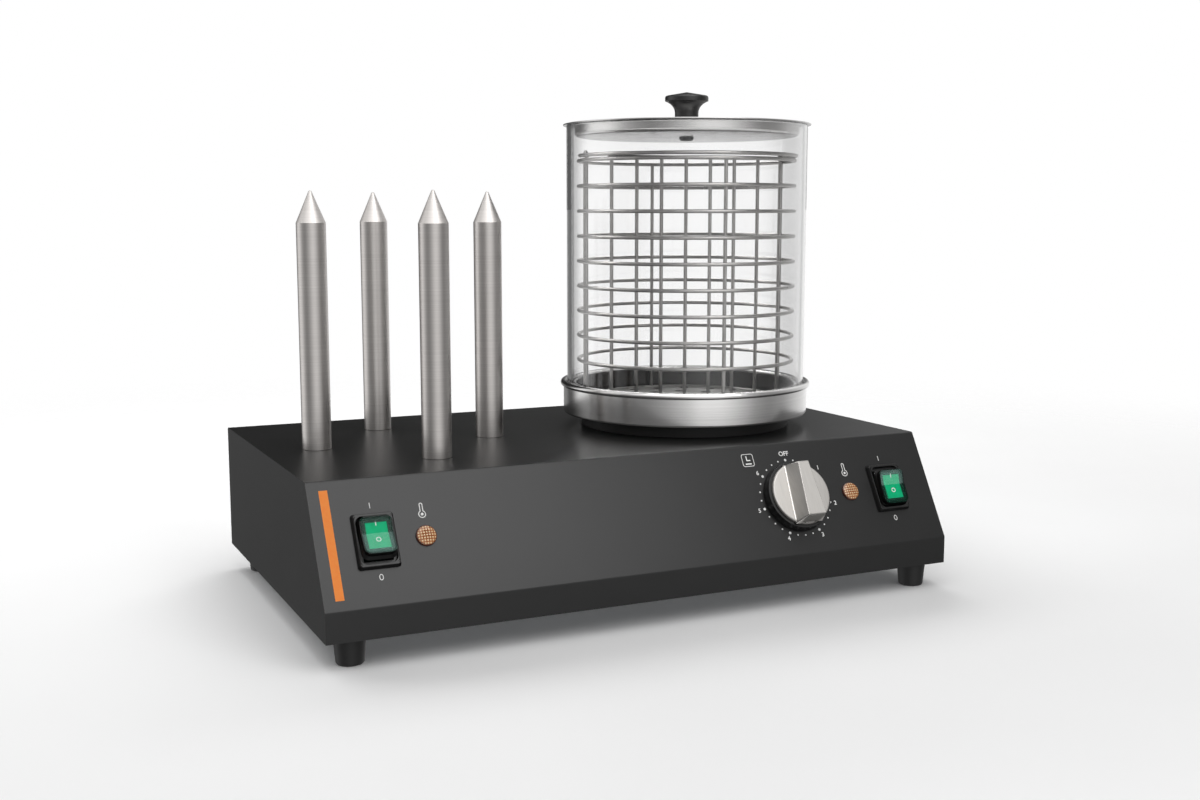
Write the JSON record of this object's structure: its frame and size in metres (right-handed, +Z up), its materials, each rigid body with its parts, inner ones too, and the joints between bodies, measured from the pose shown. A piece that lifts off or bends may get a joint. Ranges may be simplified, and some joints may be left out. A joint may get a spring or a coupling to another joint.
{
  "type": "hot dog spike machine",
  "caption": "Counter-top hot dog machine with heated bun spikes beside a glass sausage steamer on a hot plate, and a sloping control panel.",
  "frame": {"origin": "on the floor under the middle of the housing", "axes": "+X to the user's right along the control panel, +Y from the panel to the rear, +Z up"},
  "size_m": [0.5, 0.3298, 0.3943],
  "materials": {
    "black_housing": "satin powder coat",
    "zinc_sheet": "zinc-plated sheet",
    "zinc_fasteners": "zinc plated",
    "rubber_feet": "matt moulded rubber",
    "spike_metal": "fine-turned satin",
    "brass": "plain",
    "heater_steel": "satin, heat tinted",
    "phenolic": "moulded brown",
    "black_iron": "black heat-proof coating",
    "pan_steel": "brushed with a polished rim",
    "lid_steel": "brushed",
    "basket_steel": "drawn wire, electropolished",
    "floor_steel": "pressed sheet",
    "clear_glass": "clear heat-proof glass",
    "black_plastic": "satin moulded",
    "black_screw": "black oxide",
    "dial_metal": "satin",
    "cream_plastic": "moulded",
    "clear_cap": "clear soft silicone",
    "green_rocker": "lit green lens",
    "amber_lens": "faceted amber lens"
  },
  "bodies": {
    "base": {"housing_shell": "black_housing", "base_plate": "zinc_sheet", "base_screws": "zinc_fasteners", "foot_front_left": "rubber_feet", "foot_front_right": "rubber_feet", "foot_rear_left": "rubber_feet", "foot_rear_right": "rubber_feet", "foot_screws": "zinc_fasteners", "spike_left": "spike_metal", "spike_rear": "spike_metal", "spike_front": "spike_metal", "spike_right": "spike_metal", "spike_washers": "zinc_fasteners", "spike_nuts": "brass", "spike_heaters": "heater_steel", "spike_thermostat": "phenolic", "hot_plate": "black_iron", "plate_element": "heater_steel", "plate_cover": "zinc_sheet", "plate_clamp": "zinc_sheet", "plate_stud": "zinc_fasteners", "plate_nut": "brass", "plate_thermostat": "phenolic", "regulator_body": "cream_plastic", "regulator_nut": "zinc_fasteners", "switch_frame_left": "black_plastic", "switch_frame_right": "black_plastic", "switch_terminals": "brass", "lamp_lens_left": "amber_lens", "lamp_lens_right": "amber_lens", "lamp_body_left": "cream_plastic", "lamp_body_right": "cream_plastic", "lamp_nuts": "zinc_fasteners", "cable_gland": "black_plastic", "gland_nut": "black_plastic", "terminal_block": "cream_plastic", "earth_stud": "brass", "earth_nut": "brass"},
    "pan": {"water_pan": "pan_steel", "pan_ring": "pan_steel"},
    "glass": {"glass_cylinder": "clear_glass"},
    "basket": {"basket_rings": "basket_steel", "basket_posts": "basket_steel", "basket_divider": "basket_steel", "basket_floor": "floor_steel"},
    "handle": {"basket_handle": "basket_steel"},
    "lid": {"lid_dish": "lid_steel", "lid_knob": "black_plastic", "lid_screw": "black_screw"},
    "dial": {"dial_knob": "dial_metal", "dial_skirt": "black_plastic", "dial_shaft": "zinc_fasteners"},
    "left_rocker": {"rocker_left": "green_rocker", "boot_left": "clear_cap"},
    "right_rocker": {"rocker_right": "green_rocker", "boot_right": "clear_cap"}
  },
  "joints": [
    {"name": "pan_lift", "type": "slide", "parent": "base", "child": "pan", "axis": [0, 0, 1], "range_m": [0, 0.05]},
    {"name": "glass_lift", "type": "slide", "parent": "pan", "child": "glass", "axis": [0, 0, 1], "range_m": [0, 0.06]},
    {"name": "basket_lift", "type": "slide", "parent": "glass", "child": "basket", "axis": [0, 0, 1], "range_m": [0, 0.25]},
    {"name": "lid_lift", "type": "slide", "parent": "basket", "child": "lid", "axis": [0, 0, 1], "range_m": [0, 0.16]},
    {"name": "handle_swing", "type": "hinge", "parent": "basket", "child": "handle", "pos_m": [0.109, 0.019, 0.3415], "axis": [-0.989, 0.1478, 0], "range_deg": [0, 90]},
    {"name": "dial_turn", "type": "hinge", "parent": "base", "child": "dial", "pos_m": [0.123, -0.1325, 0.079], "axis": [0, 0.8662, -0.4997], "range_deg": [0, 308.6]},
    {"name": "left_rocker_tilt", "type": "hinge", "parent": "base", "child": "left_rocker", "pos_m": [-0.209, -0.12817, 0.0765], "axis": [1, 0, 0], "range_deg": [0, 14]},
    {"name": "right_rocker_tilt", "type": "hinge", "parent": "base", "child": "right_rocker", "pos_m": [0.209, -0.12817, 0.0765], "axis": [1, 0, 0], "range_deg": [-14, 0]}
  ],
  "couplings": [
    {"joint": "handle_swing", "follows": "lid_lift", "rad_per_m": 9.81}
  ]
}
